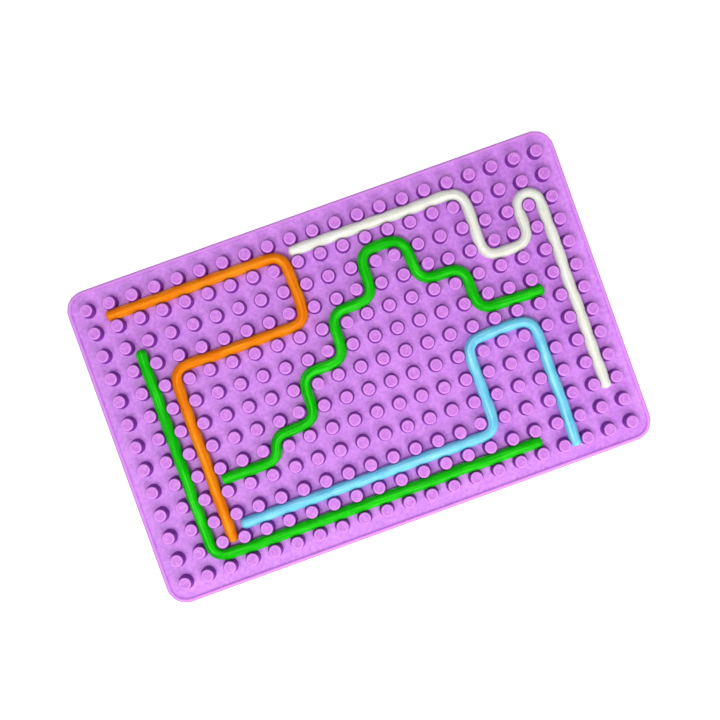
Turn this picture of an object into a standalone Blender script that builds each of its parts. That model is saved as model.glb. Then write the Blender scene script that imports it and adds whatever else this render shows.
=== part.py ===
"""A silicone peg board with five bendable strings pressed into the channels between its pegs.

The board is one moulding: a flat mat with rounded corners, a low lip round its edge, and a
lattice of upright pegs. The strings are loose pieces of one length, each bent round
the pegs to draw a line, and each can be lifted out.

Frame: the origin is at the middle of the underside, +X runs along the long side and +Z is up.
"""

import math

import bmesh
import bpy
from mathutils import Vector

MM = 0.001

# The lattice of pegs
COLUMN_PITCH = 9.4 * MM
ROW_PITCH = 9.5 * MM
COLUMNS = 21
ROWS = 13

# The mat
BOARD_LENGTH = 205 * MM
BOARD_WIDTH = 131 * MM
CORNER_RADIUS = 8 * MM
CORNER_STEPS = 6
FLOOR_HEIGHT = 3 * MM
LIP_HEIGHT = 4 * MM
LIP_WIDTH = 2 * MM
EDGE_ROUNDING = 0.6 * MM

# A peg, with the draft that lets the moulding leave its mould
PEG_HEIGHT = 5 * MM
PEG_TOP_DIAMETER = 5.2 * MM
PEG_FOOT_DIAMETER = 5.7 * MM
PEG_SIDES = 8

# A string: an oval, because the pegs squeeze it from both sides
STRING_WIDTH = 3.8 * MM
STRING_HEIGHT = 4.6 * MM
STRING_SIDES = 8
STRING_GAP = 0.25 * MM
BEND_RADIUS = 4.8 * MM
BEND_STEPS = 5
TIP_STEPS = 2

# Each string's turning points in channels: column 0 lies between the first two columns of pegs,
# row 0 between the first two rows, and rows count away from the board's far edge.
STRING_ROUTES = {
    "orange_string": [(0.15, 0), (8, 0), (8, 3), (2, 3), (2, 10.6)],
    "green_corner_string": [(1, 1.75), (1, 11), (15.65, 11)],
    "white_string": [(8.25, 0), (16, 0), (16, 3), (18, 3), (18, 1), (19, 1), (19, 9.85)],
    "blue_string": [(2.5, 10), (14, 10), (14, 6), (17, 6), (17, 11.7)],
    "green_stair_string": [
        (2.4, 8), (5, 8), (5, 7), (7, 7), (7, 5), (9, 5), (9, 3),
        (11, 3), (11, 1), (13, 1), (13, 3), (15, 3), (15, 5), (17.9, 5),
    ],
}

# Colour (linear RGB) and roughness of each material
FINISHES = {
    "pegboard": ((0.61, 0.22, 0.83), 0.55),
    "orange_string": ((1.0, 0.23, 0.0), 0.4),
    "green_corner_string": ((0.01, 0.48, 0.01), 0.4),
    "white_string": ((0.85, 0.86, 0.74), 0.45),
    "blue_string": ((0.13, 0.58, 0.95), 0.4),
    "green_stair_string": ((0.01, 0.48, 0.01), 0.4),
}


def clear_scene():
    for item in list(bpy.data.objects):
        bpy.data.objects.remove(item, do_unlink=True)


def make_material(name):
    colour, roughness = FINISHES[name]
    material = bpy.data.materials.new(name)
    material.use_nodes = True
    shader = material.node_tree.nodes["Principled BSDF"]
    shader.inputs["Base Color"].default_value = (*colour, 1)
    shader.inputs["Roughness"].default_value = roughness
    shader.inputs["Metallic"].default_value = 0
    return material


def make_object(name, mesh, sharp_angle):
    """Turn a bmesh into a named, smooth-shaded object with its own material."""
    bmesh.ops.recalc_face_normals(mesh, faces=mesh.faces)
    data = bpy.data.meshes.new(name)
    mesh.to_mesh(data)
    mesh.free()
    data.materials.append(make_material(name))
    data.shade_smooth()
    data.set_sharp_from_angle(angle=math.radians(sharp_angle))
    item = bpy.data.objects.new(name, data)
    bpy.context.scene.collection.objects.link(item)
    return item


def lattice_point(column, row, height=0.0):
    """The place of a peg, or of a point between pegs, in the board's frame."""
    x = (column - (COLUMNS - 1) / 2) * COLUMN_PITCH
    y = ((ROWS - 1) / 2 - row) * ROW_PITCH
    return Vector((x, y, height))


def rounded_rectangle(inset, height):
    """The board's outline moved in by inset, as points at one height."""
    radius = CORNER_RADIUS - inset
    reach_x = BOARD_LENGTH / 2 - CORNER_RADIUS
    reach_y = BOARD_WIDTH / 2 - CORNER_RADIUS
    points = []
    for corner, (side_x, side_y) in enumerate([(1, 1), (-1, 1), (-1, -1), (1, -1)]):
        for step in range(CORNER_STEPS + 1):
            angle = math.pi / 2 * (corner + step / CORNER_STEPS)
            x = side_x * reach_x + radius * math.cos(angle)
            y = side_y * reach_y + radius * math.sin(angle)
            points.append((x, y, height))
    return points


def polygon(centre, radius, sides):
    """A regular polygon round centre, with a flat towards each neighbour in the lattice."""
    points = []
    for side in range(sides):
        angle = 2 * math.pi * (side + 0.5) / sides
        points.append(centre + Vector((math.cos(angle), math.sin(angle), 0)) * radius)
    return points


def add_ring(mesh, points):
    """Add a closed loop of edges and return its vertices and its edges."""
    corners = [mesh.verts.new(point) for point in points]
    edges = [mesh.edges.new((a, b)) for a, b in zip(corners, corners[1:] + corners[:1])]
    return corners, edges


def join_rings(mesh, lower, upper):
    """Fill the band between two rings with the same number of points."""
    count = len(lower)
    for near in range(count):
        far = (near + 1) % count
        mesh.faces.new((lower[near], lower[far], upper[far], upper[near]))


def add_mat_edge(mesh):
    """Add the underside, the outer wall and the lip, and return the loop where the floor starts."""
    profile = [
        (EDGE_ROUNDING, 0.0),
        (0.0, EDGE_ROUNDING),
        (0.0, LIP_HEIGHT - EDGE_ROUNDING),
        (EDGE_ROUNDING, LIP_HEIGHT),
        (LIP_WIDTH - EDGE_ROUNDING, LIP_HEIGHT),
        (LIP_WIDTH, FLOOR_HEIGHT),
    ]
    rings = [add_ring(mesh, rounded_rectangle(inset, height)) for inset, height in profile]
    for (lower, _), (upper, _) in zip(rings, rings[1:]):
        join_rings(mesh, lower, upper)
    mesh.faces.new(rings[0][0])
    return rings[-1][1]


def add_peg(mesh, column, row):
    """Add one peg's wall and top, and return the loop where it meets the floor."""
    foot = lattice_point(column, row, FLOOR_HEIGHT)
    top = lattice_point(column, row, FLOOR_HEIGHT + PEG_HEIGHT)
    lower, foot_edges = add_ring(mesh, polygon(foot, PEG_FOOT_DIAMETER / 2, PEG_SIDES))
    upper, _ = add_ring(mesh, polygon(top, PEG_TOP_DIAMETER / 2, PEG_SIDES))
    join_rings(mesh, lower, upper)
    mesh.faces.new(upper)
    return foot_edges


def make_pegboard():
    """One closed moulding: mat, lip and every peg, with the floor filled in between them."""
    mesh = bmesh.new()
    floor_edges = add_mat_edge(mesh)
    for row in range(ROWS):
        for column in range(COLUMNS):
            floor_edges += add_peg(mesh, column, row)
    bmesh.ops.triangle_fill(mesh, use_beauty=True, edges=floor_edges)
    return make_object("pegboard", mesh, sharp_angle=50)


def bend(before, corner, after):
    """The points of the arc that turns the string from one channel into the next."""
    back = (before - corner).normalized()
    ahead = (after - corner).normalized()
    radius = min(BEND_RADIUS, (before - corner).length / 2, (after - corner).length / 2)
    centre = corner + (back + ahead) * radius
    points = []
    for step in range(BEND_STEPS + 1):
        angle = math.pi / 2 * step / BEND_STEPS
        points.append(centre - ahead * radius * math.cos(angle) - back * radius * math.sin(angle))
    return points


def string_centreline(route):
    """The middle of the string from end to end, with its corners rounded."""
    height = FLOOR_HEIGHT + STRING_GAP + STRING_HEIGHT / 2
    corners = [lattice_point(column + 0.5, row + 0.5, height) for column, row in route]
    line = [corners[0]]
    for before, corner, after in zip(corners, corners[1:], corners[2:]):
        line += [point for point in bend(before, corner, after) if (point - line[-1]).length > 1e-6]
    line.append(corners[-1])
    return line


def round_tip(end, inwards):
    """The stations of a rounded end: each is a point and the string's size there, 0 to 1."""
    stations = []
    for step in range(1, TIP_STEPS + 1):
        angle = math.pi / 2 * step / (TIP_STEPS + 1)
        depth = STRING_WIDTH / 2 * (1 - math.cos(angle))
        stations.append((end + inwards * depth, math.sin(angle)))
    stations.append((end + inwards * STRING_WIDTH / 2, 1.0))
    return stations


def string_stations(line):
    """Every place where the string gets a ring: its start tip, its bends and its end tip."""
    start = round_tip(line[0], (line[1] - line[0]).normalized())
    finish = round_tip(line[-1], (line[-2] - line[-1]).normalized())
    return start + [(point, 1.0) for point in line[1:-1]] + finish[::-1]


def make_string(name, route):
    """A tube of oval section along the route, closed at both ends."""
    mesh = bmesh.new()
    stations = string_stations(string_centreline(route))
    points = [point for point, _ in stations]
    rings = []
    for index, (point, size) in enumerate(stations):
        before = points[max(index - 1, 0)]
        after = points[min(index + 1, len(points) - 1)]
        along = (after - before).normalized()
        across = Vector((-along.y, along.x, 0))
        ring = []
        for side in range(STRING_SIDES):
            angle = 2 * math.pi * side / STRING_SIDES
            sideways = across * STRING_WIDTH / 2 * size * math.cos(angle)
            upwards = Vector((0, 0, STRING_HEIGHT / 2 * size * math.sin(angle)))
            ring.append(point + sideways + upwards)
        rings.append(add_ring(mesh, ring)[0])
    for lower, upper in zip(rings, rings[1:]):
        join_rings(mesh, lower, upper)
    mesh.faces.new(rings[0])
    mesh.faces.new(rings[-1])
    return make_object(name, mesh, sharp_angle=60)


clear_scene()
make_pegboard()
for string_name, string_route in STRING_ROUTES.items():
    make_string(string_name, string_route)
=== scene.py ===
"""The looks of a silicone peg board with five bendable strings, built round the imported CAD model.

The board is one fine moulding that stands for the CAD board: rounded pegs with small fillets,
a soft lip and a matte, slightly mottled silicone skin. Each string is a soft tube with faint
lines along it. The pegs squeeze it, and those that it presses on lean away from it.
"""

import math

import bpy
import numpy as np
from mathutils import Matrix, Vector, noise


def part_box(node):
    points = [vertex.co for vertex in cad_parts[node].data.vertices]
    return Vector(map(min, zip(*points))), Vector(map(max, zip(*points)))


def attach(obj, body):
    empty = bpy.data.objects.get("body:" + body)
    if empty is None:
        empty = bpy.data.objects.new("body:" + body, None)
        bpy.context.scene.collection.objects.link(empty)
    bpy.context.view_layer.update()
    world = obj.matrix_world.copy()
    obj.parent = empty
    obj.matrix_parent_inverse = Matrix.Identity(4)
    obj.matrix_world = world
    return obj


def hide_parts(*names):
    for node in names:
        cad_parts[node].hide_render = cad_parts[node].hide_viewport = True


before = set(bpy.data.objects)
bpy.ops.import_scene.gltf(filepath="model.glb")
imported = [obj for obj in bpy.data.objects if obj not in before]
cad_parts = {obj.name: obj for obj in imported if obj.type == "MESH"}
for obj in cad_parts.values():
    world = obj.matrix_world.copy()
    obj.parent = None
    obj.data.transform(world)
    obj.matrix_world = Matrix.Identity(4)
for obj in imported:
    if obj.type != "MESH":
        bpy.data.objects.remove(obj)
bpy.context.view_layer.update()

MM = 0.001

# The board, as the CAD model has it
board_low, board_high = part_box("pegboard")
BOARD_LENGTH = board_high.x - board_low.x
BOARD_WIDTH = board_high.y - board_low.y
COLUMN_PITCH = 9.4 * MM
ROW_PITCH = 9.5 * MM
COLUMNS = 21
ROWS = 13
PEG_HEIGHT = 5 * MM
FLOOR_HEIGHT = board_high.z - PEG_HEIGHT
CORNER_RADIUS = 8 * MM

# The field of pegs reaches this far past the middles of the outermost ones
FIELD_BORDER = 3.6 * MM
FIELD_X = (COLUMNS - 1) / 2 * COLUMN_PITCH + FIELD_BORDER
FIELD_Y = (ROWS - 1) / 2 * ROW_PITCH + FIELD_BORDER

# The lip round the board's edge: a rounded bead
LIP_HEIGHT = 0.6 * MM
LIP_WIDTH = 2.2 * MM
LIP_CREST = 1.15 * MM
LIP_STEPS = 5
BASE_ROUNDING = 0.6 * MM
BASE_STEPS = 3

# The name of the mesh attribute that is 1 on the peg tops' rims and the lip's crest, where a
# highlight is painted
EDGE_HIGHLIGHT = "edge_tint"

# A peg's profile
PEG_FOOT_RADIUS = 2.98 * MM
PEG_TOP_RADIUS = 2.57 * MM
FOOT_FILLET = 0.45 * MM
FOOT_STEPS = 4
TOP_ROUNDING = 0.55 * MM
TOP_STEPS = 4
DISH_RADIUS = 1.55 * MM
DISH_DEPTH = 0.06 * MM
SEGMENTS = 24

# A string
STRING_RADIUS = 2.35 * MM
STRING_SINK = 0.06 * MM
STRING_AXIS_HEIGHT = FLOOR_HEIGHT + STRING_RADIUS - STRING_SINK
STRING_SIDES = 20
STATION_STEP = 0.5 * MM
SKIN_GAP = 0.03 * MM
DENT_SOFTNESS = 0.04 * MM

# How a string's line bends from channel to channel; the margin is in radians, at an arc's ends
BEND_RADIUS = 5.5 * MM
BEND_STEPS = 12
BEND_MARGIN = 0.01
SMOOTHING = 2.5 * MM

# How a string wanders in its channel: at most how far, over what length, and how far apart the
# strings are in the noise that it is read from
WANDER = 0.36 * MM
WANDER_LENGTH = 14 * MM
WANDER_SPACING = 10.0

# The mesh attribute that holds a point's place along and round its string. The place along it is
# divided by the stretch, so that marks drawn from it run along the string.
STRING_PLACE = "string_place"
STREAK_STRETCH = 25.0

# How pegs give way to a string
SQUEEZE = 0.36 * MM
LEAN_GAIN = 1.9
LEAN_POWER = 1.4

# Each string's turning points in channels, as in the CAD model: column 0 lies between the first
# two columns of pegs, row 0 between the first two rows, counted from the board's far edge.
STRING_ROUTES = {
    "orange_string": [(0.15, 0), (8, 0), (8, 3), (2, 3), (2, 10.6)],
    "green_corner_string": [(1, 1.75), (1, 11), (15.65, 11)],
    "white_string": [(8.25, 0), (16, 0), (16, 3), (18, 3), (18, 1), (19, 1), (19, 9.85)],
    "blue_string": [(2.5, 10), (14, 10), (14, 6), (17, 6), (17, 11.7)],
    "green_stair_string": [
        (2.4, 8), (5, 8), (5, 7), (7, 7), (7, 5), (9, 5), (9, 3),
        (11, 3), (11, 1), (13, 1), (13, 3), (15, 3), (15, 5), (17.9, 5),
    ],
}

# The length over which each string's two ends round off
TIP_LENGTHS = {
    "orange_string": (1.7 * MM, 2.2 * MM),
    "green_corner_string": (2.4 * MM, 1.5 * MM),
    "white_string": (2.3 * MM, 2.0 * MM),
    "blue_string": (2.1 * MM, 1.9 * MM),
    "green_stair_string": (0.8 * MM, 1.4 * MM),
}

# A tip's outline is a quarter turn, blunter as the power rises; its rings start at this angle
TIP_POWER = 2.2
TIP_STEPS = 7
FIRST_TIP_ANGLE = 0.12

# Vertices that round to the same point of this grid, in points per metre, are one
WELD_GRID = 1e6

# The board's colours, in linear RGB
MAT_DEEP = (0.63, 0.205, 0.83)
MAT_BRIGHT = (0.78, 0.30, 0.96)
PEG_TOP_COLOUR = (0.625, 0.178, 0.755)
DARK_SPECK = (0.44, 0.125, 0.66)
LIGHT_SPECK = (0.86, 0.42, 0.98)
# A painted highlight on the peg tops' rims and the lip's crest
RIM_PAINTED_HIGHLIGHT = (0.79, 0.30, 0.91)
# A painted shade on the steep walls of the pegs and the board's edge
WALL_PAINTED_SHADE = (0.22, 0.018, 0.37)

# Each string's material: its slot, its deeper and its brighter colour, and that of its sheen, which
# also colours the painted highlights on its lines
GREEN = ("green_silicone", (0.004, 0.48, 0.004), (0.010, 0.60, 0.006), (0.1, 1.0, 0.06))
ORANGE = ("orange_silicone", (0.93, 0.195, 0.002), (0.97, 0.265, 0.005), (1.0, 0.5, 0.05))
STRING_MATERIALS = {
    "orange_string": ORANGE,
    "green_corner_string": GREEN,
    "white_string": ("white_silicone", (0.83, 0.84, 0.72), (0.92, 0.93, 0.84), (1.0, 1.0, 0.95)),
    "blue_string": ("blue_silicone", (0.15, 0.62, 0.92), (0.23, 0.75, 0.98), (0.6, 0.95, 1.0)),
    "green_stair_string": GREEN,
}
# A painted shade, laid over the grooves between the strings' lines
GROOVE_SHADE = (0.72, 0.72, 0.72)

# How fine the marks in each material are, in marks per metre
CLOUD_SCALE = 95.0
SPECK_SCALE = 650.0
RIPPLE_SCALE = 420.0
GRAIN_SCALE = 2600.0
DRIFT_SCALE = 160.0
MARK_SCALE = 900.0
STREAK_SCALE = 1600.0
FIBRE_SCALE = 700.0

# A colour mix node's two colours and its result, which share their names with other sockets
FIRST_COLOUR = 6
SECOND_COLOUR = 7
MIXED_COLOUR = 2

# The camera, turned by these angles in degrees
CAMERA_PLACE = (0.00345, 0.012, 0.44539)
CAMERA_TURN = (-0.26, -1.45, -19.739)
CAMERA_LENS = 55.506
CAMERA_SHIFT = (-0.0375, -0.0278)

# Each light's place, its diameter and its power in watts; all point at the board's middle
LIGHTS = {
    "key": ((-0.508, -0.259, 1.28), 0.34, 5.5),
    "front": ((0.1, -0.42, 0.38), 0.6, 2.2),
    "overhead": ((-0.12, -0.05, 1.2), 0.2, 2.0),
}

# The paper under the board: how far it reaches, and a gap that keeps the two surfaces apart
STAGE_REACH = 3.0
STAGE_GAP = 0.05 * MM


# ---------------------------------------------------------------- shapes


def lattice_point(column, row):
    """A peg's place on the board, or a place between pegs."""
    x = (column - (COLUMNS - 1) / 2) * COLUMN_PITCH
    y = ((ROWS - 1) / 2 - row) * ROW_PITCH
    return np.array([x, y])


def unit(vector):
    """The vector's direction, as a vector of length 1."""
    return vector / np.linalg.norm(vector)


def resample(line, step):
    """The same line with points an even distance apart, of about step."""
    line = np.asarray(line)
    lengths = np.linalg.norm(np.diff(line, axis=0), axis=1)
    along = np.concatenate([[0.0], np.cumsum(lengths)])
    count = max(2, round(along[-1] / step) + 1)
    places = np.linspace(0.0, along[-1], count)
    return np.stack([np.interp(places, along, line[:, axis]) for axis in range(line.shape[1])], 1)


def rounded_route(route):
    """The route's straight runs joined by arcs, in the plane of the board."""
    corners = [lattice_point(column + 0.5, row + 0.5) for column, row in route]
    line = [corners[0]]
    for before, corner, after in zip(corners, corners[1:], corners[2:]):
        back = unit(before - corner)
        ahead = unit(after - corner)
        shortest = min(np.linalg.norm(before - corner), np.linalg.norm(after - corner))
        radius = min(BEND_RADIUS, shortest / 2)
        centre = corner + (back + ahead) * radius
        for angle in np.linspace(BEND_MARGIN, math.pi / 2 - BEND_MARGIN, BEND_STEPS):
            line.append(centre - radius * (ahead * math.cos(angle) + back * math.sin(angle)))
    line.append(corners[-1])
    return np.array(line)


def smoothed(line, reach):
    """The line with each point moved to the mean of its neighbours within reach, ends kept."""
    step = np.linalg.norm(line[1] - line[0])
    width = max(1, round(reach / step))
    out = line.copy()
    for index in range(1, len(line) - 1):
        near = min(width, index, len(line) - 1 - index)
        out[index] = line[index - near:index + near + 1].mean(axis=0)
    return out


def string_line(name):
    """The middle of a string from tip to tip: smooth bends, and a slight wander in its channel."""
    line = resample(rounded_route(STRING_ROUTES[name]), STATION_STEP)
    line = smoothed(smoothed(line, SMOOTHING), SMOOTHING / 2)
    seed = WANDER_SPACING * (1 + list(STRING_ROUTES).index(name))
    tangents = np.gradient(line, axis=0)
    for index, tangent in enumerate(tangents):
        along = index * STATION_STEP / WANDER_LENGTH
        sideways = noise.noise(Vector((along, seed, 0.0))) * WANDER
        line[index] += unit(np.array([-tangent[1], tangent[0]])) * sideways
    return resample(line, STATION_STEP)


def peg_radius(height):
    """A peg's radius at a height above the floor, without its fillet and rounding."""
    share = np.clip(height / PEG_HEIGHT, 0.0, 1.0)
    return PEG_FOOT_RADIUS + (PEG_TOP_RADIUS - PEG_FOOT_RADIUS) * share


def peg_leans(lines):
    """How far each peg's top is pushed aside by the strings, by column and row."""
    leans = {}
    contact = peg_radius(PEG_HEIGHT / 2) + STRING_RADIUS - SQUEEZE
    for column in range(COLUMNS):
        for row in range(ROWS):
            peg = lattice_point(column, row)
            lean = np.zeros(2)
            for line in lines.values():
                away = peg - line
                distances = np.linalg.norm(away, axis=1)
                nearest = distances.argmin()
                push = contact - distances[nearest]
                if push > 0:
                    lean += away[nearest] / distances[nearest] * push * LEAN_GAIN
            leans[column, row] = lean
    return leans


def lean_at(lean, height):
    """How far a leaning peg's middle is from its foot's, at one or more heights above the floor."""
    share = np.clip(height / PEG_HEIGHT, 0.0, 1.0)
    return np.multiply.outer(share ** LEAN_POWER, lean)


def mesh_object(name, vertices, faces, material):
    """A smooth-shaded object with one material, in the scene."""
    data = bpy.data.meshes.new(name)
    data.from_pydata([tuple(v) for v in vertices], [], faces)
    data.validate()
    data.materials.append(material)
    data.shade_smooth()
    item = bpy.data.objects.new(name, data)
    bpy.context.scene.collection.objects.link(item)
    return item


def ring_faces(lower, upper):
    """Quads between two closed rings of vertex numbers."""
    count = len(lower)
    return [
        (lower[k], lower[(k + 1) % count], upper[(k + 1) % count], upper[k])
        for k in range(count)
    ]


def peg_profile():
    """(radius, height above the floor, painted highlight) from a peg's fillet up to its dished top.
    """
    profile = []
    for step in range(FOOT_STEPS):
        angle = math.pi / 2 * step / FOOT_STEPS
        radius = PEG_FOOT_RADIUS + FOOT_FILLET * (1 - math.sin(angle))
        profile.append((radius, FOOT_FILLET * (1 - math.cos(angle)), 0.0))
    for height in (FOOT_FILLET, PEG_HEIGHT / 2):
        profile.append((peg_radius(height), height, 0.0))
    for step in range(TOP_STEPS + 1):
        angle = math.pi / 2 * step / TOP_STEPS
        radius = PEG_TOP_RADIUS - TOP_ROUNDING * (1 - math.cos(angle))
        height = PEG_HEIGHT - TOP_ROUNDING * (1 - math.sin(angle))
        profile.append((radius, height, math.sin(angle)))
    profile.append((DISH_RADIUS, PEG_HEIGHT - DISH_DEPTH, 0.0))
    return profile


class Welded:
    """Vertices that are shared wherever two have the same place, to a thousandth of a millimetre."""

    def __init__(self):
        self.places = []
        self.highlight_shares = []
        self.numbers = {}
        self.faces = []

    def add(self, x, y, z, highlight_share=0.0):
        """The number of the vertex at this place, which is made if it is new."""
        key = (round(x * WELD_GRID), round(y * WELD_GRID), round(z * WELD_GRID))
        if key not in self.numbers:
            self.numbers[key] = len(self.places)
            self.places.append((x, y, z))
            self.highlight_shares.append(highlight_share)
        return self.numbers[key]


def in_field(x, y):
    """The point, or the nearest one to it inside the field of pegs."""
    return max(-FIELD_X, min(FIELD_X, x)), max(-FIELD_Y, min(FIELD_Y, y))


def cell_edge(middle, angle):
    """The point where the edge of a peg's rectangle of floor lies in that direction."""
    direction = (math.cos(angle), math.sin(angle))
    stretch = max(abs(direction[0]), abs(direction[1]))
    x = middle[0] + direction[0] / stretch * COLUMN_PITCH / 2
    y = middle[1] + direction[1] / stretch * ROW_PITCH / 2
    return in_field(x, y)


def add_peg(shell, column, row, lean):
    """One peg and the rectangle of floor round it."""
    middle = lattice_point(column, row)
    angles = [2 * math.pi * k / SEGMENTS for k in range(SEGMENTS)]
    rings = [[shell.add(*cell_edge(middle, angle), FLOOR_HEIGHT) for angle in angles]]
    for radius, height, highlight_share in peg_profile():
        centre = middle + lean_at(lean, height)
        ring = []
        for angle in angles:
            x = centre[0] + radius * math.cos(angle)
            y = centre[1] + radius * math.sin(angle)
            ring.append(shell.add(x, y, FLOOR_HEIGHT + height, highlight_share))
        rings.append(ring)
    for lower, upper in zip(rings, rings[1:]):
        shell.faces += ring_faces(lower, upper)
    top = middle + lean
    centre = shell.add(top[0], top[1], FLOOR_HEIGHT + PEG_HEIGHT - DISH_DEPTH)
    last = rings[-1]
    for k in range(SEGMENTS):
        shell.faces.append((last[k], last[(k + 1) % SEGMENTS], centre))


def field_outline():
    """The outline of the field of pegs, counterclockwise, with the points its cells have there."""
    quarter = SEGMENTS // 4
    slopes = [math.tan(2 * math.pi * (k / SEGMENTS - 1 / 8)) for k in range(quarter)]
    columns = [lattice_point(column, 0)[0] for column in range(COLUMNS)]
    rows = [lattice_point(0, row)[1] for row in reversed(range(ROWS))]
    along_x = [x + COLUMN_PITCH / 2 * slope for x in columns for slope in slopes]
    along_y = [y + ROW_PITCH / 2 * slope for y in rows for slope in slopes]
    points = [in_field(x, -BOARD_WIDTH) for x in along_x]
    points += [in_field(BOARD_LENGTH, y) for y in along_y]
    points += [in_field(-x, BOARD_WIDTH) for x in along_x]
    points += [in_field(-BOARD_LENGTH, -y) for y in along_y]
    return points


def outline_point(x, y, inset):
    """Where a point of the field's outline lands on the board's outline moved in by inset."""
    reach_x = BOARD_LENGTH / 2 - CORNER_RADIUS
    reach_y = BOARD_WIDTH / 2 - CORNER_RADIUS
    radius = CORNER_RADIUS - inset
    on_end = abs(x) > FIELD_X - 1 / WELD_GRID
    if on_end:
        turn = max(0.0, (abs(y) - reach_y) / (FIELD_Y - reach_y))
    else:
        turn = max(0.0, (abs(x) - reach_x) / (FIELD_X - reach_x))
    small = radius * math.sin(turn * math.pi / 4)
    large = radius * math.cos(turn * math.pi / 4)
    if on_end:
        return math.copysign(reach_x + large, x), math.copysign(min(abs(y), reach_y) + small, y)
    return math.copysign(min(abs(x), reach_x) + small, x), math.copysign(reach_y + large, y)


def edge_profile():
    """(inset, height, painted highlight) from the floor over the lip and down to the underside."""
    profile = []
    for step in range(LIP_STEPS + 1):
        share = step / LIP_STEPS
        rise = (1 - math.cos(math.pi * share)) / 2
        inset = LIP_WIDTH - (LIP_WIDTH - LIP_CREST) * share
        profile.append((inset, FLOOR_HEIGHT + LIP_HEIGHT * rise, share))
    for step in range(1, LIP_STEPS + 1):
        angle = math.pi / 2 * step / LIP_STEPS
        drop = LIP_CREST * (1 - math.cos(angle))
        inset = LIP_CREST * (1 - math.sin(angle))
        profile.append((inset, FLOOR_HEIGHT + LIP_HEIGHT - drop, math.cos(angle)))
    for step in range(BASE_STEPS + 1):
        angle = math.pi / 2 * step / BASE_STEPS
        inset = BASE_ROUNDING * (1 - math.cos(angle))
        profile.append((inset, BASE_ROUNDING * (1 - math.sin(angle)), 0.0))
    return profile


def make_pegboard(leans, material):
    """The whole moulding: every peg with its piece of floor, and the edge round them all."""
    shell = Welded()
    for (column, row), lean in leans.items():
        add_peg(shell, column, row, lean)
    outline = field_outline()
    rings = [[shell.add(x, y, FLOOR_HEIGHT) for x, y in outline]]
    for inset, height, highlight_share in edge_profile():
        ring = [shell.add(*outline_point(x, y, inset), height, highlight_share) for x, y in outline]
        rings.append(ring)
    for inner, outer in zip(rings, rings[1:]):
        shell.faces += ring_faces(outer, inner)
    shell.faces.append(tuple(reversed(rings[-1])))
    board = mesh_object("silicone_pegboard", shell.places, shell.faces, material)
    underside = board.data.polygons[-1]
    underside.use_smooth = False
    highlight_shares = board.data.attributes.new(EDGE_HIGHLIGHT, "FLOAT", "POINT")
    highlight_shares.data.foreach_set("value", shell.highlight_shares)
    return board


def tip_size(distance, length):
    """A string's size as a share of its full size, at a distance from a tip."""
    share = np.clip(distance / length, 0.0, 1.0)
    return (1 - (1 - share) ** TIP_POWER) ** (1 / TIP_POWER)


def tip_stations(length):
    """Distances from a tip at which a string gets a ring, closer together near the tip."""
    angles = np.linspace(FIRST_TIP_ANGLE, math.pi / 2, TIP_STEPS)
    return length * (1 - np.cos(angles))


def clear_of_pegs(points, leans):
    """Push a string's surface out of the pegs, with a soft edge to each dent."""
    for (column, row), lean in leans.items():
        peg = lattice_point(column, row)
        near = np.linalg.norm(points[:, :2] - peg, axis=1) < COLUMN_PITCH / 2
        if not near.any():
            continue
        height = points[near, 2] - FLOOR_HEIGHT
        axis = peg + lean_at(lean, height)
        away = points[near, :2] - axis
        distance = np.linalg.norm(away, axis=1)
        depth = peg_radius(height) + SKIN_GAP - distance
        push = DENT_SOFTNESS * np.logaddexp(0.0, depth / DENT_SOFTNESS)
        points[near, :2] = axis + away * ((distance + push) / distance)[:, None]
    return points


def make_string(name, line, leans, material):
    """A soft tube along the line, squeezed by the pegs and lying on the floor between them."""
    steps = np.linalg.norm(np.diff(line, axis=0), axis=1)
    along = np.concatenate([[0.0], np.cumsum(steps)])
    length = along[-1]
    first, last = TIP_LENGTHS[name]
    inner = np.arange(first + STATION_STEP, length - last - STATION_STEP / 2, STATION_STEP)
    places = np.concatenate([tip_stations(first), inner, length - tip_stations(last)[::-1]])
    middle = np.stack([np.interp(places, along, line[:, axis]) for axis in range(2)], 1)
    tangents = np.gradient(middle, places, axis=0)
    size = tip_size(places, first) * tip_size(length - places, last)
    angles = 2 * np.pi * np.arange(STRING_SIDES) / STRING_SIDES
    points = []
    for place, centre, tangent, share in zip(places, middle, tangents, size):
        across = unit(np.array([-tangent[1], tangent[0]]))
        radius = STRING_RADIUS * share
        ring = np.empty((STRING_SIDES, 3))
        ring[:, :2] = centre + np.outer(np.cos(angles) * radius, across)
        ring[:, 2] = STRING_AXIS_HEIGHT + np.sin(angles) * radius
        points.append(ring)
    points = clear_of_pegs(np.concatenate(points), leans)
    points[:, 2] = np.maximum(points[:, 2], FLOOR_HEIGHT + SKIN_GAP)
    rings = np.arange(len(points)).reshape(-1, STRING_SIDES).tolist()
    faces = []
    for lower, upper in zip(rings, rings[1:]):
        faces += ring_faces(lower, upper)
    faces.append(tuple(reversed(rings[0])))
    faces.append(tuple(rings[-1]))
    string = mesh_object(name.replace("_string", "_silicone_string"), points, faces, material)
    start = list(STRING_ROUTES).index(name)
    spots = np.empty((len(places), STRING_SIDES, 3))
    spots[..., 0] = start + places[:, None] / STREAK_STRETCH
    spots[..., 1] = np.cos(angles) * STRING_RADIUS
    spots[..., 2] = np.sin(angles) * STRING_RADIUS
    attribute = string.data.attributes.new(STRING_PLACE, "FLOAT_VECTOR", "POINT")
    attribute.data.foreach_set("vector", spots.ravel())
    return string


# ---------------------------------------------------------------- materials


def new_material(name):
    """A material, its node tree and its shader."""
    material = bpy.data.materials.new(name)
    material.use_nodes = True
    return material, material.node_tree, material.node_tree.nodes["Principled BSDF"]


def add_node(tree, kind, settings=None, **inputs):
    """Add a node, set its properties and its inputs, which are values or other nodes' outputs."""
    node = tree.nodes.new(kind)
    for key, value in (settings or {}).items():
        setattr(node, key, value)
    for key, value in inputs.items():
        socket = node.inputs[key.replace("_", " ")]
        if isinstance(value, bpy.types.NodeSocket):
            tree.links.new(value, socket)
        else:
            socket.default_value = value
    return node


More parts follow.
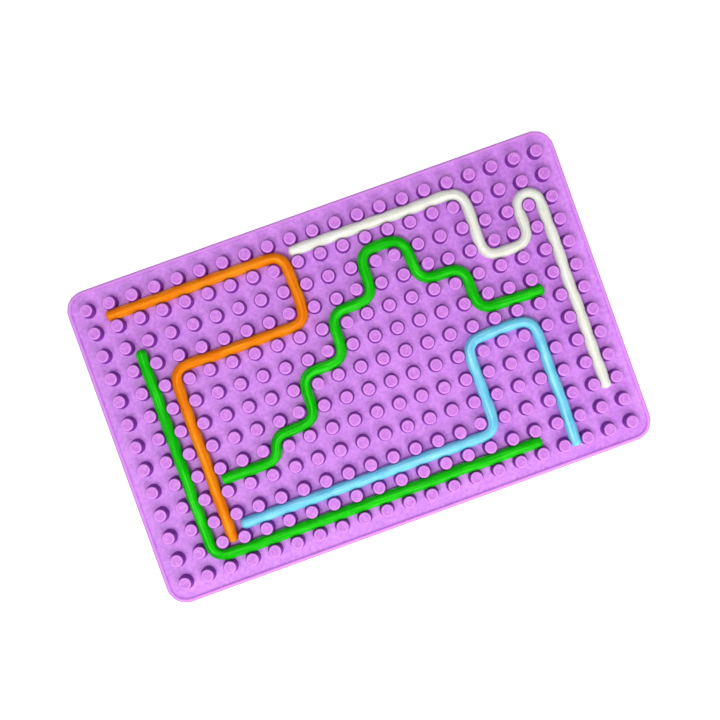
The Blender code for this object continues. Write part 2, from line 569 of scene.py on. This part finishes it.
def noise_of(tree, coordinates, scale, detail=3.0, roughness=0.5):
    """Noise of about 0.3 to 0.7, with scale marks per metre."""
    node = add_node(tree, "ShaderNodeTexNoise", Scale=scale, Detail=detail, Roughness=roughness)
    tree.links.new(coordinates, node.inputs["Vector"])
    return node.outputs["Fac"]


def mix_colours(tree, share, first, second, blend="MIX"):
    """Mix two colours, each a colour or another node's output."""
    node = add_node(tree, "ShaderNodeMix", {"data_type": "RGBA", "blend_type": blend})
    tree.links.new(share, node.inputs["Factor"])
    for index, value in ((FIRST_COLOUR, first), (SECOND_COLOUR, second)):
        if isinstance(value, bpy.types.NodeSocket):
            tree.links.new(value, node.inputs[index])
        else:
            node.inputs[index].default_value = (*value, 1.0)
    return node.outputs[MIXED_COLOUR]


def map_range(tree, value, low, high, to_low=0.0, to_high=1.0):
    """The value rescaled from one range to another, and kept inside it."""
    node = add_node(tree, "ShaderNodeMapRange", {"clamp": True})
    tree.links.new(value, node.inputs["Value"])
    node.inputs["From Min"].default_value = low
    node.inputs["From Max"].default_value = high
    node.inputs["To Min"].default_value = to_low
    node.inputs["To Max"].default_value = to_high
    return node.outputs["Result"]


def bumps(tree, shader, heights):
    """Chain bump nodes: each height is (output, distance in metres, strength)."""
    normal = None
    for height, distance, strength in heights:
        node = add_node(tree, "ShaderNodeBump", Distance=distance, Strength=strength)
        tree.links.new(height, node.inputs["Height"])
        if normal is not None:
            tree.links.new(normal, node.inputs["Normal"])
        normal = node.outputs["Normal"]
    tree.links.new(normal, shader.inputs["Normal"])


def board_silicone():
    """Matte orchid silicone: mottled and speckled, with pinker peg tops, a painted highlight on the
    rims and the lip's crest, and painted shade on the steep walls of the pegs and the board's edge."""
    material, tree, shader = new_material("orchid_silicone")
    coordinates = add_node(tree, "ShaderNodeTexCoord").outputs["Object"]
    cloudy = noise_of(tree, coordinates, CLOUD_SCALE, 4.0, 0.6)
    speckle = noise_of(tree, coordinates, SPECK_SCALE, 3.0, 0.6)
    grain = noise_of(tree, coordinates, GRAIN_SCALE, 2.0)
    ripple = noise_of(tree, coordinates, RIPPLE_SCALE, 2.0)
    height = add_node(tree, "ShaderNodeSeparateXYZ", Vector=coordinates).outputs["Z"]
    normal = add_node(tree, "ShaderNodeNewGeometry").outputs["Normal"]
    upward = add_node(tree, "ShaderNodeSeparateXYZ", Vector=normal).outputs["Z"]
    edge = add_node(tree, "ShaderNodeAttribute", {"attribute_name": EDGE_HIGHLIGHT}).outputs["Fac"]
    mottling = map_range(tree, cloudy, 0.3, 0.7)
    colour = mix_colours(tree, mottling, MAT_DEEP, MAT_BRIGHT)
    top_share = map_range(tree, height, FLOOR_HEIGHT + 0.8 * PEG_HEIGHT, FLOOR_HEIGHT + PEG_HEIGHT)
    colour = mix_colours(tree, top_share, colour, PEG_TOP_COLOUR)
    dark_specks = map_range(tree, speckle, 0.3, 0.5, 0.45, 0.0)
    colour = mix_colours(tree, dark_specks, colour, DARK_SPECK)
    light_specks = map_range(tree, speckle, 0.5, 0.7, 0.0, 0.45)
    colour = mix_colours(tree, light_specks, colour, LIGHT_SPECK)
    # Painted highlight on the peg tops' rims and the lip's crest, where the mesh attribute marks them
    colour = mix_colours(tree, map_range(tree, edge, 0.3, 0.95), colour, RIM_PAINTED_HIGHLIGHT)
    level = add_node(tree, "ShaderNodeMath", {"operation": "ABSOLUTE"}, Value=upward).outputs["Value"]
    # Painted shade on steep walls: the steeper the surface, the more of the dark wall colour
    wall_shade_share = map_range(tree, level, 0.3, 0.85, 1.0, 0.0)
    colour = mix_colours(tree, wall_shade_share, colour, WALL_PAINTED_SHADE)
    tree.links.new(colour, shader.inputs["Base Color"])
    tree.links.new(map_range(tree, cloudy, 0.3, 0.7, 0.45, 0.55), shader.inputs["Roughness"])
    bumps(tree, shader, [(ripple, 0.2 * MM, 0.25), (grain, 0.03 * MM, 0.4)])
    shader.inputs["Specular IOR Level"].default_value = 0.5
    shader.inputs["Subsurface Weight"].default_value = 0.05
    shader.inputs["Subsurface Radius"].default_value = (1.0, 0.5, 1.0)
    shader.inputs["Subsurface Scale"].default_value = 0.6 * MM
    return material


def string_silicone(name, deep, bright, sheen):
    """Satin silicone with faint lines along it, as if drawn through a die, painted shade in their
    grooves and painted highlights on their ridges, and a crisp sheen.
    """
    material, tree, shader = new_material(name)
    coordinates = add_node(tree, "ShaderNodeTexCoord").outputs["Object"]
    drift = noise_of(tree, coordinates, DRIFT_SCALE)
    marks = noise_of(tree, coordinates, MARK_SCALE, 3.0, 0.6)
    place = add_node(tree, "ShaderNodeAttribute", {"attribute_name": STRING_PLACE}).outputs["Vector"]
    streaks = noise_of(tree, place, STREAK_SCALE, 2.0)
    colour = mix_colours(tree, map_range(tree, drift, 0.3, 0.7), deep, bright)
    # Painted shade in the grooves between the lines
    groove_shade_share = map_range(tree, streaks, 0.35, 0.5, 0.5, 0.0)
    colour = mix_colours(tree, groove_shade_share, colour, GROOVE_SHADE, "MULTIPLY")
    # Painted highlights on the lines' ridges, in the sheen colour
    colour = mix_colours(tree, map_range(tree, streaks, 0.53, 0.63, 0.0, 0.3), colour, sheen)
    tree.links.new(colour, shader.inputs["Base Color"])
    tree.links.new(map_range(tree, marks, 0.3, 0.7, 0.16, 0.32), shader.inputs["Roughness"])
    bumps(tree, shader, [(streaks, 0.4 * MM, 0.5), (marks, 0.1 * MM, 0.3)])
    shader.inputs["Specular IOR Level"].default_value = 0.6
    shader.inputs["Specular Tint"].default_value = (*sheen, 1.0)
    shader.inputs["Sheen Weight"].default_value = 0.35
    shader.inputs["Sheen Roughness"].default_value = 0.4
    shader.inputs["Sheen Tint"].default_value = (*sheen, 1.0)
    shader.inputs["Subsurface Weight"].default_value = 0.4
    shader.inputs["Subsurface Radius"].default_value = (1.0, 1.0, 1.0)
    shader.inputs["Subsurface Scale"].default_value = 1.6 * MM
    return material


def floor_material():
    """Pale matte paper, which glows a little so that the board's cast shadow stays faint."""
    material, tree, shader = new_material("pale_paper")
    coordinates = add_node(tree, "ShaderNodeTexCoord").outputs["Object"]
    fibre = noise_of(tree, coordinates, FIBRE_SCALE)
    colour = mix_colours(tree, fibre, (0.90, 0.90, 0.90), (0.94, 0.94, 0.94))
    tree.links.new(colour, shader.inputs["Base Color"])
    shader.inputs["Roughness"].default_value = 0.9
    shader.inputs["Emission Color"].default_value = (1.0, 1.0, 1.0, 1.0)
    shader.inputs["Emission Strength"].default_value = 0.6
    return material


# ---------------------------------------------------------------- stage


def make_camera():
    """Almost straight above the board, turned so that the long side rises to the right."""
    data = bpy.data.cameras.new("camera")
    data.sensor_width = 36.0
    data.lens = CAMERA_LENS
    data.shift_x, data.shift_y = CAMERA_SHIFT
    camera = bpy.data.objects.new("camera", data)
    camera.location = CAMERA_PLACE
    camera.rotation_euler = [math.radians(angle) for angle in CAMERA_TURN]
    bpy.context.scene.collection.objects.link(camera)
    bpy.context.scene.camera = camera


def make_light(name, place, size, power):
    """A round area light that points at the board's middle."""
    data = bpy.data.lights.new(name, "AREA")
    data.shape = "DISK"
    data.size = size
    data.energy = power
    light = bpy.data.objects.new(name, data)
    light.location = place
    light.rotation_euler = (-Vector(place)).to_track_quat("-Z", "Y").to_euler()
    bpy.context.scene.collection.objects.link(light)


def make_stage():
    """A plain studio: even light from all round, three lamps and a sheet of paper."""
    world = bpy.data.worlds.new("studio")
    world.use_nodes = True
    background = world.node_tree.nodes["Background"]
    background.inputs["Color"].default_value = (0.96, 0.97, 1.0, 1.0)
    background.inputs["Strength"].default_value = 0.3
    bpy.context.scene.world = world
    bpy.context.scene.view_settings.view_transform = "Standard"

    for name, (place, size, power) in LIGHTS.items():
        make_light(name, place, size, power)

    reach = STAGE_REACH
    corners = [(-reach, -reach), (reach, -reach), (reach, reach), (-reach, reach)]
    corners = [(x, y, -STAGE_GAP) for x, y in corners]
    floor = mesh_object("floor", corners, [(0, 1, 2, 3)], floor_material())


# ---------------------------------------------------------------- the object

make_camera()
make_stage()

string_lines = {name: string_line(name) for name in STRING_ROUTES}
peg_lean = peg_leans(string_lines)

board = make_pegboard(peg_lean, board_silicone())
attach(board, "pegboard")
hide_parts("pegboard")

for string_name, string_middle in string_lines.items():
    slot_name, *colours = STRING_MATERIALS[string_name]
    finish = string_silicone(slot_name, *colours)
    string = make_string(string_name, string_middle, peg_lean, finish)
    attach(string, string_name)
    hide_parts(string_name)
